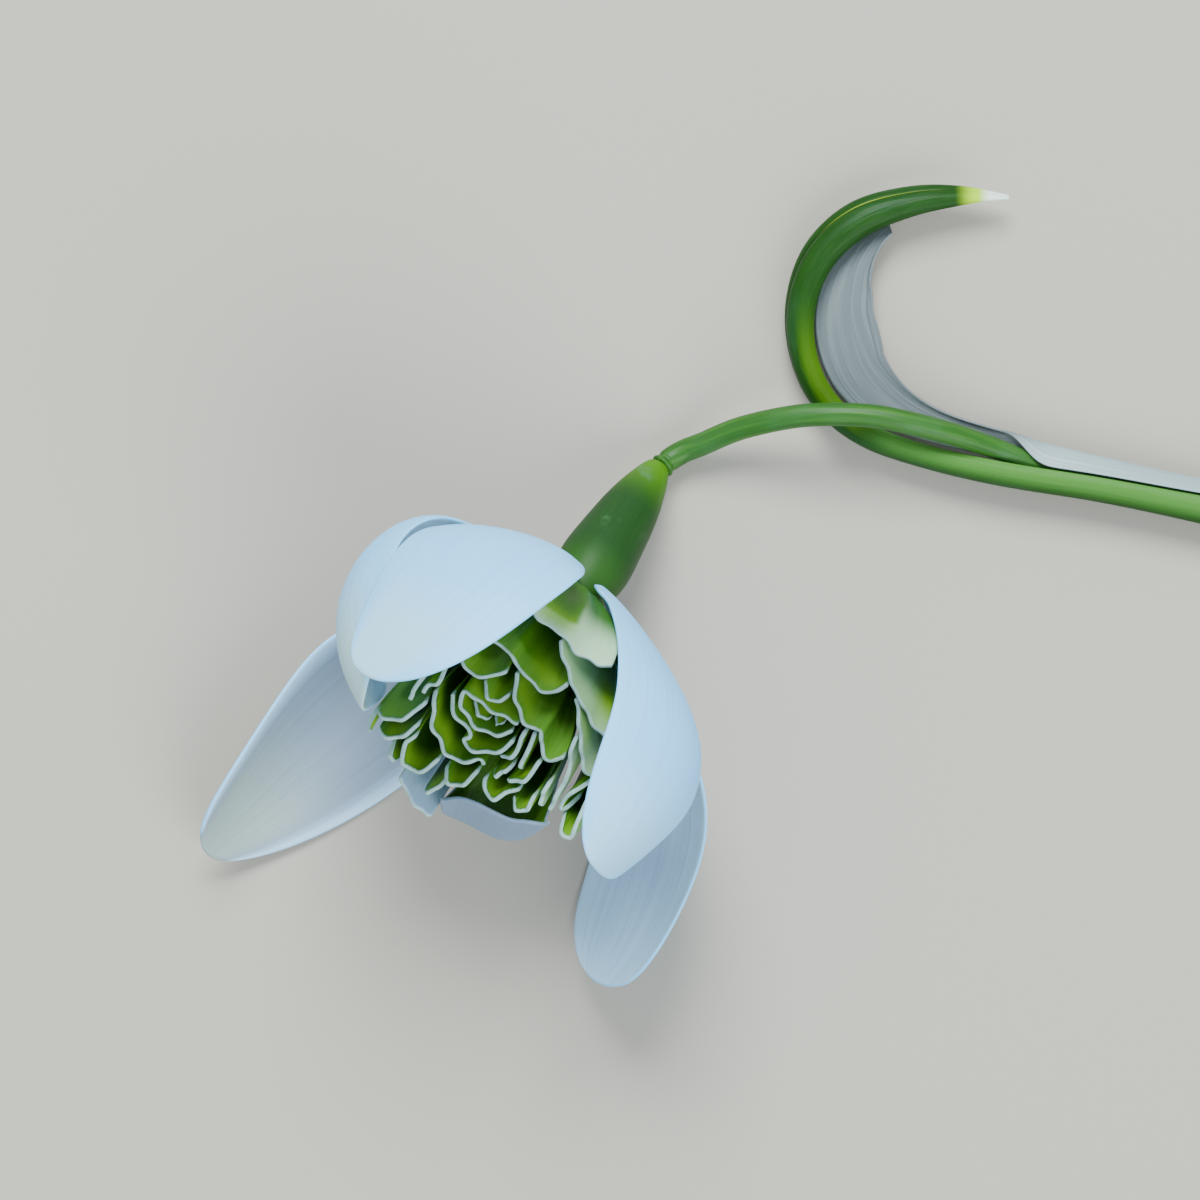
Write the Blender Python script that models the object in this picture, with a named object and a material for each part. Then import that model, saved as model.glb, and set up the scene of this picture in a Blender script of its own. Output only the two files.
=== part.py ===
"""A double snowdrop flower, picked and lying on its back on a flat surface.

The flower is modelled about its own axis: W runs from the ovary out through
the mouth, FACE_UP and FACE_SIDE lie across it.  Two families of petals use
that frame.  The five outer tepals are spoons grown along a bent midrib.  The
inner tepals are curtains: the rim of each is a short curve in the plan of the
flower's face, and one shared map carries every rim down to the floral disc,
so rims that keep apart in plan give petals that keep apart all the way down.
The stalk parts (pedicel, spathe, scape) follow centre lines that lie on the
surface.  Lengths are in millimetres and are turned to metres when a mesh is
made.
"""
import math

import bmesh
import bpy
import numpy as np

MM = 0.001

# The flower's base point, and how its axis lies
BASE = np.array([-20.59, 0.62, 6.65])
AXIS_TILT = 55.0             # degrees between the axis and straight up
AXIS_HEADING = 237.1         # compass direction of the mouth, from +X

# Outer tepals: claws stand on a ring round the top of the ovary
CLAW_RING_RADIUS = 1.9
CLAW_RING_HEIGHT = 1.45
OUTER_THICKNESS = 0.42
TIP_SHARE = 0.07             # share of the length that the last row rounds off
TIP_EASE = 3.0
SHOULDER_EASE = 1.25         # above 1 the blade stays narrow near its claw
MIDRIB_STEPS = 80
OUTER_ROWS = 15
OUTER_COLUMNS = 8

# Inner tepals
FACE_HEIGHT = 11.75          # height of the rosette's middle above the base point
FACE_SLOPE = 0.477           # the rosette's face leans towards the light
DISC_HEIGHT = 1.9
DISC_SHARE = 0.26            # plan size at the disc against the rim
BULGE_ANGLE = math.radians(102.0)
INNER_THICKNESS = 0.30
CLAW_SHARE = 0.40            # width at the claw against the rim
CLAW_START = 0.07            # the claw stands this share of the way up, clear of the disc
CLAW_EASE = 0.7
HOOD_RISE = 2.5              # a hooded petal gains its height early
BELLY_ENDS = 1.08            # and its belly fades only close to its two sides
BELLY_FADE = 10
INNER_ROWS = 5
INNER_COLUMNS = 6            # at least this many across a petal
COLUMNS_PER_SPAN = 2         # between two points of its rim

# Ovary, turned about the axis: (height along the axis, radius)
OVARY_PROFILE = [
    (1.95, 0.00), (1.85, 0.55), (1.55, 1.05), (1.15, 1.40), (0.65, 1.78), (-0.10, 2.02),
    (-0.90, 2.10), (-2.00, 2.02), (-3.50, 1.78), (-5.00, 1.52), (-6.40, 1.22), (-7.60, 0.88),
    (-8.60, 0.60), (-9.10, 0.50), (-9.25, 0.00),
]
OVARY_SIDES = 20

# Pedicel: centre line from the ovary to the top of the scape, as (x, y, height)
PEDICEL_RADIUS = 0.65
KNUCKLE_SWELL = 1.22
KNUCKLE_SHARE = 0.02
SHEATHED_SLIMMING = 0.26     # it thins where the sheath holds it
SHEATH_FROM = 0.60
SHEATH_FADE = 0.25
PEDICEL_ROUTE = [
    (4.35, 6.55, 0.98), (4.95, 6.80, 1.08), (6.30, 7.28, 1.55), (8.40, 8.10, 2.45), (11.10, 8.70, 3.55),
    (13.40, 8.86, 4.10), (15.80, 8.75, 4.15), (18.10, 8.30, 3.85), (20.40, 7.70, 3.00),
    (22.60, 6.97, 2.00), (24.90, 6.10, 1.46), (28.50, 5.30, 1.46), (33.70, 4.25, 1.58), (37.90, 3.25, 1.56),
]
PEDICEL_POINTS = 34

# Scape: centre line past the spathe's foot, ending in a clean cut
SCAPE_RADIUS = 1.5
SCAPE_ROUTE = [(38.60, 3.00, 1.52), (44.70, 1.75, 1.52), (52.90, -0.25, 1.52), (62.30, -3.00, 1.52)]
SCAPE_POINTS = 18

# Spathe: x, y, height, size across the curl, size through it, wrap and roll in degrees, wall
SPATHE_STATIONS = [
    (38.20, 3.08, 1.50, 2.75, 2.75, 120.0, 0.0, 0.42),
    (33.70, 4.02, 1.50, 2.45, 2.60, 112.0, 0.0, 0.42),
    (28.50, 5.05, 1.50, 2.30, 2.55, 108.0, 0.0, 0.42),
    (22.90, 5.85, 1.50, 2.05, 2.45, 118.0, 0.0, 0.46),
    (18.60, 6.80, 1.50, 1.90, 2.30, 123.0, 0.0, 0.50),
    (15.30, 8.00, 1.52, 1.90, 2.20, 127.0, 0.0, 0.52),
    (13.10, 9.90, 1.54, 1.95, 2.20, 130.0, 0.0, 0.52),
    (12.00, 12.40, 1.56, 1.95, 2.25, 132.0, 4.0, 0.52),
    (11.90, 15.10, 1.60, 2.00, 2.30, 132.0, 14.0, 0.52),
    (12.90, 17.70, 1.64, 2.15, 2.35, 128.0, 28.0, 0.52),
    (15.00, 19.60, 1.68, 2.20, 2.35, 120.0, 38.0, 0.50),
    (17.80, 20.55, 1.70, 1.85, 2.00, 110.0, 42.0, 0.46),
    (20.50, 20.85, 1.70, 1.30, 1.45, 95.0, 42.0, 0.38),
    (23.30, 20.80, 1.70, 0.40, 0.42, 60.0, 42.0, 0.16),
]
GROOVE_DEPTH = 0.16
GROOVE_WIDTH = math.radians(16.0)
SPATHE_ROWS = 30
SPATHE_COLUMNS = 10

# Membrane, station by station from the spathe's foot: how far its free edge stands off the
# spathe's centre line; over the sheath it closes the near side too, up to a share of the length
MEMBRANE_REACH = [1.25, 1.30, 1.50, 2.05, 2.50, 3.50, 4.00, 4.20, 3.90, 3.30, 2.00, 0.90, 0.60, 0.40]
COVER_FULL = 0.195
COVER_END = 0.240
MEMBRANE_START = 0.03
MEMBRANE_END = 0.81
MEMBRANE_GAP = 0.38
MEMBRANE_THICKNESS = 0.22
MEMBRANE_ROWS = 26
MEMBRANE_COLUMNS = 6

# Outer tepals.  Angles are in degrees: flare is measured from the axis, side is the
# sideways swing of the midrib, twist turns the blade about it, cup is its half angle.
# Shoulder gives a side, the share by which that side narrows near the claw (negative where
# it widens), and the share of the length where the blade is back to its own width.
SHOULDER_START = 0.05
SHOULDER_FULL = 0.6
OUTER_TEPALS = {
    "outer_tepal_1": {
        "azimuth": -25.5, "length": 21.6, "width": 10.2, "claw": 0.14,
        "widest": 0.53, "tip": 1.9, "lean": 0.26, "shoulder": (1, 0.55, 0.40),
        "flare": [58, 55, -7, -31], "side": [0, -14, -11, -24], "twist": [0, 7, 20], "cup": [23, 22, 16],
    },
    "outer_tepal_2": {
        "azimuth": -96, "length": 21.1, "width": 13.5, "claw": 0.12,
        "widest": 0.54, "tip": 3.2, "lean": -0.11,
        "flare": [95, 50, -13, -60], "side": [0, 5, 1, -6], "twist": [0, 1, 13], "cup": [56, 46, 61],
    },
    "outer_tepal_3": {
        "azimuth": -156, "length": 25.5, "width": 11.0, "claw": 0.12,
        "widest": 0.57, "tip": 1.8, "lean": 0.17,
        "flare": [91, 55, 32, 32], "side": [0, 4, 5, -1], "twist": [0, -4, -29], "cup": [22, 34, 51],
    },
    "outer_tepal_4": {
        "azimuth": 39.5, "length": 21.7, "width": 10.8, "claw": 0.14,
        "widest": 0.47, "tip": 3.1, "lean": 0.26, "shoulder": (-1, -0.4, 0.16),
        "flare": [58, 45, 1, -26], "side": [0, 18, 10, 7], "twist": [0, 8, -10], "cup": [34, 41, 71],
    },
    "outer_tepal_5": {
        "azimuth": 124, "length": 22.3, "width": 11.1, "claw": 0.13,
        "widest": 0.67, "tip": 3.5, "lean": -0.16,
        "flare": [84, 70, 36, 14], "side": [0, 2, 15, 23], "twist": [0, 7, 5], "cup": [33, 29, 33],
    },
}

# Inner tepals: rim in the plan of the face (up, side), lift of the rim above the face,
# share by which the corners drop, and how far the back bellies out below a hooded rim
INNER_TEPALS = [
    ("inner_tepal_01", [(6.7, -2.6), (6.45, -1.45), (6.25, -0.35), (6.25, 0.8), (5.85, 1.85),
                        (5.9, 2.95), (6.1, 3.8)], 0.0, 0.03, 0.0),
    ("inner_tepal_02", [(5.75, 0.65), (4.45, 2.25), (3.35, 3.95), (2.4, 5.75)], 0.0, 0.03, 0.0),
    ("inner_tepal_03", [(3.6, -2.5), (3.6, -1.8), (3.8, -1.1), (3.4, -0.6), (3.25, 0.05),
                        (3.05, 0.75), (3, 1.4), (3.2, 2.05), (3.85, 2.3)], 0.0, 0.05, 0.0),
    ("inner_tepal_04", [(2.85, -0.4), (2.3, -0.05), (1.8, 0.35), (1.35, 0.8), (0.95, 1.35),
                        (0.9, 1.95), (1.05, 2.5), (0.5, 2.75), (0, 3.2), (-0.2, 3.8),
                        (0.15, 4.3)], 0.0, 0.04, 0.0),
    ("inner_tepal_05", [(3.35, 3.05), (2.35, 4.2), (1.1, 5.05), (-0.05, 6.05)], 0.0, 0.05, 0.0),
    ("inner_tepal_06", [(1.6, 4.2), (-0.5, 5.05), (-2.75, 5.15)], 0.0, 0.03, 0.0),
    ("inner_tepal_07", [(-2.75, 5.85), (-3.05, 6.4), (-3.05, 6.95), (-2.15, 6.9), (-1.35, 6.55)],
     0.2, 0.08, 0.0),
    ("inner_tepal_08", [(1.8, -3.35), (1.6, -2.4), (1.95, -1.55), (2.6, -0.85)], 0.0, 0.05, 0.0),
    ("inner_tepal_09", [(1.35, -1.6), (0.95, -0.75), (1.45, 0)], 0.0, 0.05, 0.0),
    ("inner_tepal_10", [(0.45, 1.25), (0.4, 0.4), (0.4, -0.5), (0.6, -1.35), (0.5, -2.15),
                        (-0.25, -1.95), (-0.65, -1.15), (-0.8, -0.3), (-0.75, 0.55),
                        (-0.15, 1.15)], 0.0, 0.04, 0.0),
    ("inner_tepal_11", [(0.05, -1.5), (-0.3, -0.85), (-0.4, -0.2)], -0.2, 0.06, 0.0),
    ("inner_tepal_12", [(-0.2, -2.7), (-0.75, -2.15), (-1.1, -1.4), (-1.3, -0.65),
                        (-1.85, -0.75), (-2, -0.05), (-1.75, 0.65), (-1.2, 1.2),
                        (-0.55, 1.5)], 0.0, 0.03, 0.0),
    ("inner_tepal_13", [(0.35, 1.75), (-0.8, 1.95), (-1.85, 1.4)], 0.0, 0.05, 0.0),
    ("inner_tepal_14", [(0.45, 2.25), (-0.65, 2.5), (-1.7, 2.65)], 0.0, 0.05, 0.0),
    ("inner_tepal_15", [(-1.75, 2.15), (-2.3, 1.9), (-2.75, 1.5)], 0.0, 0.05, 0.0),
    ("inner_tepal_16", [(-3.2, 1.3), (-3.7, 1.75), (-3.7, 2.4), (-3.1, 2.7), (-2.65, 3.2)],
     0.0, 0.05, 0.0),
    ("inner_tepal_17", [(-3.45, 3.1), (-3.5, 3.7), (-3.2, 4.15), (-2.6, 4.1)], 0.0, 0.05, 0.0),
    ("inner_tepal_18", [(-0.55, -3.5), (-1.3, -3.1), (-2.05, -2.75), (-2.45, -1.95),
                        (-3, -1.25), (-3, -0.4), (-2.45, 0.35), (-2.7, 0.85)], 0.0, 0.04, 0.0),
    ("inner_tepal_19", [(-3.35, -3.05), (-3.95, -3.35), (-4.8, -2.9), (-4.75, -1.95), (-3.95, -1.3)],
     0.0, 0.05, 0.0),
    ("inner_tepal_20", [(-4.1, -0.85), (-4.35, -0.15), (-3.95, 0.5), (-3.3, 0.8)],
     0.0, 0.05, 0.0),
    ("inner_tepal_21", [(-3.5, -5.55), (-2.75, -4.25), (-1.35, -3.65)], 0.0, 0.05, 0.0),
    ("inner_tepal_22", [(0.85, -3.75), (0.2, -3.7), (-0.4, -4), (-1.1, -4.05)], 0.0, 0.05, 0.0),
    ("inner_tepal_23", [(-5.25, -0.15), (-4.55, 0.65), (-4.3, 1.7), (-4.2, 2.75), (-4, 3.8),
                        (-3.45, 4.7), (-2.95, 5.65)], 0.0, 0.03, 2.6),
    ("inner_tepal_24", [(-5.75, -2.65), (-6.4, -1.15), (-6.65, 0)], 0.0, 0.04, 0.0),
    ("inner_tepal_25", [(6.2, -3.6), (5.1, -4.8), (3.8, -5.8)], 0.0, 0.14, 0.0),
    ("inner_tepal_26", [(2.9, -6), (1.5, -6.4), (0, -6.4)], 0.0, 0.14, 0.0),
    ("inner_tepal_27", [(5, -2.4), (4.4, -3.65), (3.4, -4.6)], 0.0, 0.12, 0.0),
    ("inner_tepal_28", [(2.5, -5), (0.6, -5.45), (-1.3, -5.1)], 0.0, 0.12, 0.0),
    ("inner_tepal_29", [(2.7, -3.9), (1.65, -4.4), (0.5, -4.6)], 0.0, 0.10, 0.0),
    ("inner_tepal_30", [(4.9, 4.6), (4.15, 5.55), (3.2, 6.2)], 0.0, 0.14, 0.0),
    ("inner_tepal_31", [(2, 6.2), (1.15, 6.55), (0.25, 6.65)], 0.0, 0.14, 0.0),
    ("inner_tepal_32", [(-0.75, 3.35), (-1.85, 3.15), (-2.7, 2.4)], 0.0, 0.05, 0.0),
    ("inner_tepal_33", [(-4.35, -5), (-3.8, -4), (-2.85, -3.25)], 0.0, 0.05, 0.0),
    ("inner_tepal_34", [(-3.95, -5.6), (-4.2, -5.5), (-4.4, -5.35)], 0.0, 0.10, 0.0),
    ("inner_tepal_35", [(-4.45, -4), (-4.9, -3.65), (-5.25, -3.15)], 0.0, 0.10, 0.0),
    ("inner_tepal_36", [(-1.55, 4.3), (-2.15, 4.55), (-2.85, 4.65)], 0.0, 0.05, 0.0),
    ("inner_tepal_37", [(-0.1, 0), (-0.25, 0.25), (-0.2, 0.55)], -0.3, 0.06, 0.0),
    ("inner_tepal_38", [(-0.75, 6), (-1.2, 5.65), (-1.75, 5.5), (-2.3, 5.5), (-2.4, 5.8), (-1.95, 6.1)],
     -0.4, 0.10, 0.0),
    ("inner_tepal_39", [(-1.75, -4.45), (-1.05, -4.55), (-0.15, -4.45)], 0.0, 0.05, 0.0),
    ("inner_tepal_40", [(-5.9, -1.1), (-5.3, -0.8), (-4.75, -0.4)], 0.0, 0.10, 0.0),
]

# Colours: red, green, blue, roughness
COLOURS = {
    "outer_white": (0.82, 0.87, 0.93, 0.45),
    "inner_green": (0.20, 0.38, 0.06, 0.45),
    "ovary_green": (0.07, 0.20, 0.04, 0.40),
    "stalk_green": (0.10, 0.26, 0.09, 0.45),
    "membrane": (0.55, 0.60, 0.60, 0.50),
}


def clear_scene():
    for thing in list(bpy.data.objects):
        bpy.data.objects.remove(thing, do_unlink=True)


def flower_axes():
    """Unit vectors along the axis, up the face and across it."""
    tilt = math.radians(AXIS_TILT)
    heading = math.radians(AXIS_HEADING)
    away = np.array([math.cos(heading), math.sin(heading), 0.0])
    up = np.array([0.0, 0.0, 1.0])
    axis = math.sin(tilt) * away + math.cos(tilt) * up
    face_up = -math.cos(tilt) * away + math.sin(tilt) * up
    face_side = np.cross(face_up, axis)
    return axis, face_side, face_up


AXIS, FACE_SIDE, FACE_UP = flower_axes()


def ease(value, start, end):
    """Smooth step from 0 at start to 1 at end."""
    t = min(max((value - start) / (end - start), 0.0), 1.0)
    return t * t * (3.0 - 2.0 * t)


def through(values, share):
    """Smooth curve through equally spaced values, read at a share from 0 to 1."""
    values = [float(value) for value in values]
    spans = len(values) - 1
    place = min(max(share, 0.0), 1.0) * spans
    span = min(int(place), spans - 1)
    t = place - span
    padded = [2 * values[0] - values[1]] + values + [2 * values[-1] - values[-2]]
    a, b, c, d = padded[span:span + 4]
    return 0.5 * (2 * b + (c - a) * t + (2 * a - 5 * b + 4 * c - d) * t ** 2
                  + (3 * b - a - 3 * c + d) * t ** 3)


def route_point(route, share):
    """Point on the smooth curve through a route's points."""
    return np.array([through(column, share) for column in zip(*route)])


def material(name):
    """One Principled material for each colour, made once."""
    found = bpy.data.materials.get(name)
    if found:
        return found
    red, green, blue, roughness = COLOURS[name]
    made = bpy.data.materials.new(name)
    made.use_nodes = True
    shader = made.node_tree.nodes["Principled BSDF"]
    shader.inputs["Base Color"].default_value = (red, green, blue, 1.0)
    shader.inputs["Roughness"].default_value = roughness
    return made


def finish(obj, colour):
    """Link the object, give it its material and smooth shading."""
    bpy.context.scene.collection.objects.link(obj)
    obj.data.materials.append(material(colour))
    if obj.type == "MESH":
        obj.data.shade_smooth()
    return obj


def sheet(name, rows, columns, place, thickness, colour, wall=None):
    """A flat grid bent to a surface and thickened to a closed solid.

    place(across, along) gives a point in millimetres for across from -1 to 1 and
    along from 0 to 1.  wall(across, along), where given, is the share of the
    thickness at that spot.
    """
    bm = bmesh.new()
    bmesh.ops.create_grid(bm, x_segments=columns, y_segments=rows, size=1.0)
    spots = [(vert.co.x, 0.5 * (vert.co.y + 1.0)) for vert in bm.verts]
    for vert, (across, along) in zip(bm.verts, spots):
        vert.co = place(across, along) * MM
    mesh = bpy.data.meshes.new(name)
    bm.to_mesh(mesh)
    bm.free()
    obj = bpy.data.objects.new(name, mesh)
    thicken = obj.modifiers.new("wall", "SOLIDIFY")
    thicken.thickness = thickness * MM
    thicken.offset = 0.0
    if wall:
        group = obj.vertex_groups.new(name="wall")
        for index, (across, along) in enumerate(spots):
            group.add([index], wall(across, along), "REPLACE")
        thicken.vertex_group = "wall"
    return finish(obj, colour)


def tube(name, route, radius, points, colour, swell=None):
    """A round stalk along a route, with closed ends."""
    curve = bpy.data.curves.new(name, "CURVE")
    curve.dimensions = "3D"
    curve.bevel_depth = radius * MM
    curve.bevel_resolution = 3
    curve.use_fill_caps = True
    spline = curve.splines.new("POLY")
    spline.points.add(points - 1)
    for index, point in enumerate(spline.points):
        share = index / (points - 1)
        point.co = (*(route_point(route, share) * MM), 1.0)
        point.radius = swell(share) if swell else 1.0
    obj = bpy.data.objects.new(name, curve)
    return finish(obj, colour)


# Outer tepals

def width_share(tepal, share):
    """Half width over its largest value while the blade widens from the claw."""
    claw = tepal["claw"]
    rise = min(share / tepal["widest"], 1.0)
    return claw + (1.0 - claw) * math.sin(rise * math.pi / 2) ** SHOULDER_EASE


def outline_share(tepal, share):
    """Half width over its largest value, claw to tip."""
    widest = tepal["widest"]
    if share <= widest:
        return width_share(tepal, share)
    fall = min((share - widest) / (1.0 - widest), 1.0)
    return math.sqrt(max(0.0, 1.0 - fall ** tepal["tip"]))


def midrib(tepal):
    """Points and cross directions along the tepal's middle line."""
    azimuth = math.radians(tepal["azimuth"])
    outward = math.cos(azimuth) * FACE_UP + math.sin(azimuth) * FACE_SIDE
    around = -math.sin(azimuth) * FACE_UP + math.cos(azimuth) * FACE_SIDE
    point = CLAW_RING_RADIUS * outward + CLAW_RING_HEIGHT * AXIS
    rib = []
    for step in range(MIDRIB_STEPS):
        share = step / (MIDRIB_STEPS - 1)
        flare = math.radians(through(tepal["flare"], share))
        swing = math.radians(through(tepal["side"], share))
        turn = math.radians(through(tepal["twist"], share))
        heading = math.cos(flare) * AXIS + math.sin(flare) * outward
        heading = math.cos(swing) * heading + math.sin(swing) * around
        normal = math.cos(flare) * outward - math.sin(flare) * AXIS
        normal -= heading * (normal @ heading)
        normal /= np.linalg.norm(normal)
        across = np.cross(heading, normal)
        if across @ around < 0:
            across = -across
        if rib:
            point = point + 0.5 * (heading + rib[-1][3]) * tepal["length"] / (MIDRIB_STEPS - 1)
        rib.append((point, across * math.cos(turn) + normal * math.sin(turn),
                    normal * math.cos(turn) - across * math.sin(turn), heading))
    return rib


def outer_tepal(name, tepal):
    rib = midrib(tepal)
    last_row = outline_share(tepal, 1.0 - TIP_SHARE)
    fall = 1.0 - tepal["widest"]
    shoulder_side, trim, fade = tepal.get("shoulder", (1, 0.0, 1.0))

    def rounded(across, along):
        """Share of the length, with the rows bent back to follow the tip's outline."""
        end = tepal["widest"] + fall * (1.0 - (across * last_row) ** 2) ** (1.0 / tepal["tip"])
        return along * (1.0 - along ** TIP_EASE * (1.0 - end))

    def place(across, along):
        share = rounded(across, along)
        offset = across * outline_share(tepal, rounded(1.0, along)) * 0.5 * tepal["width"]
        offset *= 1.0 + tepal["lean"] * math.copysign(1.0, offset)
        near_claw = 1.0 - ease(share, SHOULDER_START, fade)
        offset *= 1.0 - trim * near_claw * ease(shoulder_side * across, 0.0, SHOULDER_FULL)
        cup = math.radians(through(tepal["cup"], share))
        radius = 0.5 * tepal["width"] * width_share(tepal, share) / cup
        spot = share * (len(rib) - 1)
        low = min(int(spot), len(rib) - 2)
        mix = spot - low
        point, side, normal = [rib[low][k] * (1 - mix) + rib[low + 1][k] * mix for k in range(3)]
        angle = offset / radius
        return BASE + point + radius * math.sin(angle) * side - radius * (1 - math.cos(angle)) * normal

    return sheet(name, OUTER_ROWS, OUTER_COLUMNS, place, OUTER_THICKNESS, "outer_white")


# Inner tepals

def plan_scale(along):
    """Plan size of the rosette at a share of the way from disc to rim."""
    return DISC_SHARE + (1 - DISC_SHARE) * math.sin(BULGE_ANGLE * along) / math.sin(BULGE_ANGLE)


def rosette_point(up, side, along, lift, belly):
    """The shared map from a rim's plan point (along = 1) down to the disc (along = 0)."""
    rise = 1.0 - (1.0 - along) ** (HOOD_RISE if belly else 1.0)
    scale = plan_scale(rise)
    rim_height = FACE_HEIGHT - FACE_SLOPE * up + lift
    height = DISC_HEIGHT + (rim_height - DISC_HEIGHT) * rise
    outward = scale * up - belly * math.sin(math.pi * along ** 2)
    return BASE + outward * FACE_UP + scale * side * FACE_SIDE + height * AXIS


def inner_tepal(name, rim, lift, corner_drop, belly):
    def spot(across, along):
        along = CLAW_START + (1.0 - CLAW_START) * along
        spread = CLAW_SHARE + (1.0 - CLAW_SHARE) * along ** CLAW_EASE
        return across * spread, along * (1.0 - corner_drop * abs(across) ** 3 * along ** 2)

    def place(across, along):
        reach, height = spot(across, along)
        up, side = route_point(rim, 0.5 * (reach + 1.0))
        return rosette_point(up, side, height, lift, belly * (BELLY_ENDS - across ** BELLY_FADE))

    def wall(across, along):
        return plan_scale(spot(across, along)[1]) / plan_scale(1.0)

    columns = max(INNER_COLUMNS, COLUMNS_PER_SPAN * (len(rim) - 1))
    return sheet(name, INNER_ROWS, columns, place, INNER_THICKNESS, "inner_green", wall)


# Ovary and stalk parts

def ovary():
    bm = bmesh.new()
    ring = [bm.verts.new(((radius * FACE_UP + height * AXIS + BASE) * MM).tolist())
            for height, radius in OVARY_PROFILE]
    edges = [bm.edges.new(pair) for pair in zip(ring, ring[1:])]
    bmesh.ops.spin(bm, geom=ring + edges, cent=(BASE * MM).tolist(), axis=AXIS.tolist(),
                   angle=2 * math.pi, steps=OVARY_SIDES, use_merge=True)
    bmesh.ops.remove_doubles(bm, verts=bm.verts, dist=1e-6)
    bmesh.ops.recalc_face_normals(bm, faces=bm.faces)
    mesh = bpy.data.meshes.new("ovary")
    bm.to_mesh(mesh)
    bm.free()
    obj = bpy.data.objects.new("ovary", mesh)
    return finish(obj, "ovary_green")


def from_base(x, y, height):
    """A point given from the flower's base point in plan and from the surface in height."""
    return np.array([x + BASE[0], y + BASE[1], height])


def stalk_route(route):
    return [tuple(from_base(*point)) for point in route]


def pedicel():
    def swell(share):
        knuckle = (KNUCKLE_SWELL - 1.0) * math.exp(-(share / KNUCKLE_SHARE) ** 2)
        slim = min(max((share - SHEATH_FROM) / SHEATH_FADE, 0.0), 1.0)
        return 1.0 + knuckle - SHEATHED_SLIMMING * slim

    route = stalk_route(PEDICEL_ROUTE)
    return tube("pedicel", route, PEDICEL_RADIUS, PEDICEL_POINTS, "stalk_green", swell)


def scape():
    return tube("scape", stalk_route(SCAPE_ROUTE), SCAPE_RADIUS, SCAPE_POINTS, "stalk_green")


def spathe_frame(share):
    """Station values and outward direction of the spathe at a share of its length."""
    values = route_point(SPATHE_STATIONS, share)
    ahead = route_point(SPATHE_STATIONS, min(share + 0.01, 1.0))
    behind = route_point(SPATHE_STATIONS, max(share - 0.01, 0.0))
    run = ahead[:2] - behind[:2]
    run /= np.linalg.norm(run)
    return values, np.array([-run[1], run[0], 0.0])


def spathe():
    def place(across, along):
        values, outward = spathe_frame(along)
        x, y, height, deep, wide, wrap, roll, wall = values
        roll = math.radians(roll)
        up = np.array([0.0, 0.0, 1.0])
        back = math.cos(roll) * outward + math.sin(roll) * up
        crossing = math.cos(roll) * up - math.sin(roll) * outward
        angle = across * math.radians(wrap)
        groove = 1.0 - GROOVE_DEPTH * math.exp(-(angle / GROOVE_WIDTH) ** 2)
        reach = 0.5 * (deep - wall) * groove * math.cos(angle)
        spread = 0.5 * (wide - wall) * groove * math.sin(angle)
        return from_base(x, y, height) + back * reach + crossing * spread

    thickest = max(station[-1] for station in SPATHE_STATIONS)

    def wall(across, along):
        return spathe_frame(along)[0][-1] / thickest

    return sheet("spathe", SPATHE_ROWS, SPATHE_COLUMNS, place, thickest, "stalk_green", wall)


def spathe_membrane():
    def place(across, along):
        share = MEMBRANE_START + (MEMBRANE_END - MEMBRANE_START) * along
        values, outward = spathe_frame(share)
        x, y, height, deep, wide, wrap, roll, wall = values
        centre = from_base(x, y, height)
        wrap = math.radians(wrap)
        drop = 0.5 * (wide - wall) * math.sin(wrap)
        margin = centre + outward * (0.5 * (deep - wall) * math.cos(wrap) - MEMBRANE_GAP)
        fold = centre - outward * through(MEMBRANE_REACH, share)
        far = margin - np.array([0.0, 0.0, drop])
        near = margin + np.array([0.0, 0.0, drop])
        cover = 1.0 - ease(share, COVER_FULL, COVER_END)
        return route_point([far, fold, near], 0.25 * (across + 1.0) * (1.0 + cover))

    return sheet("spathe_membrane", MEMBRANE_ROWS, MEMBRANE_COLUMNS, place, MEMBRANE_THICKNESS,
                 "membrane")


def build():
    clear_scene()
    scape()
    spathe()
    spathe_membrane()
    pedicel()
    ovary()
    for name, tepal in OUTER_TEPALS.items():
        outer_tepal(name, tepal)
    for row in INNER_TEPALS:
        inner_tepal(*row)


build()
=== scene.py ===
# %% [markdown]
# # A double snowdrop, picked and lying down
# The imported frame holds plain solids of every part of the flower: petals, ovary, stalk and
# spathe.  This lesson gives each of them its living surface.  Each finished piece sits at the
# origin with its place in its mesh, and rides on the frame's one body, `root`.

# %% Load the frame
import math

import bpy
import numpy as np
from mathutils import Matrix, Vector


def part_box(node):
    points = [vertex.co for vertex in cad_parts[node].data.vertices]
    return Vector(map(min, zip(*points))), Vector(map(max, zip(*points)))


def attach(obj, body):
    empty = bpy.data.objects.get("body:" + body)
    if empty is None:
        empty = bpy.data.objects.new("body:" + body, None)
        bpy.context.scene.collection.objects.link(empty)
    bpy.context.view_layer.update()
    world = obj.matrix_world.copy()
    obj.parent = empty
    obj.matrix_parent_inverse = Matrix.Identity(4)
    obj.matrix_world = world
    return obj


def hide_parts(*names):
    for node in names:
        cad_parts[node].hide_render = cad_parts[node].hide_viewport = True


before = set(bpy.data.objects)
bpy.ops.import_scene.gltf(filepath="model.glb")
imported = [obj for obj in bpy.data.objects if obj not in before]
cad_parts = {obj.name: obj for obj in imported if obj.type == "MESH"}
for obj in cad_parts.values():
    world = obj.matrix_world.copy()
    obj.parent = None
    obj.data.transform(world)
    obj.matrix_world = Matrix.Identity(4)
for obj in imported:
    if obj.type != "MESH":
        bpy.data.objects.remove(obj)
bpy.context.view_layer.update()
MM = 0.001

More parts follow.
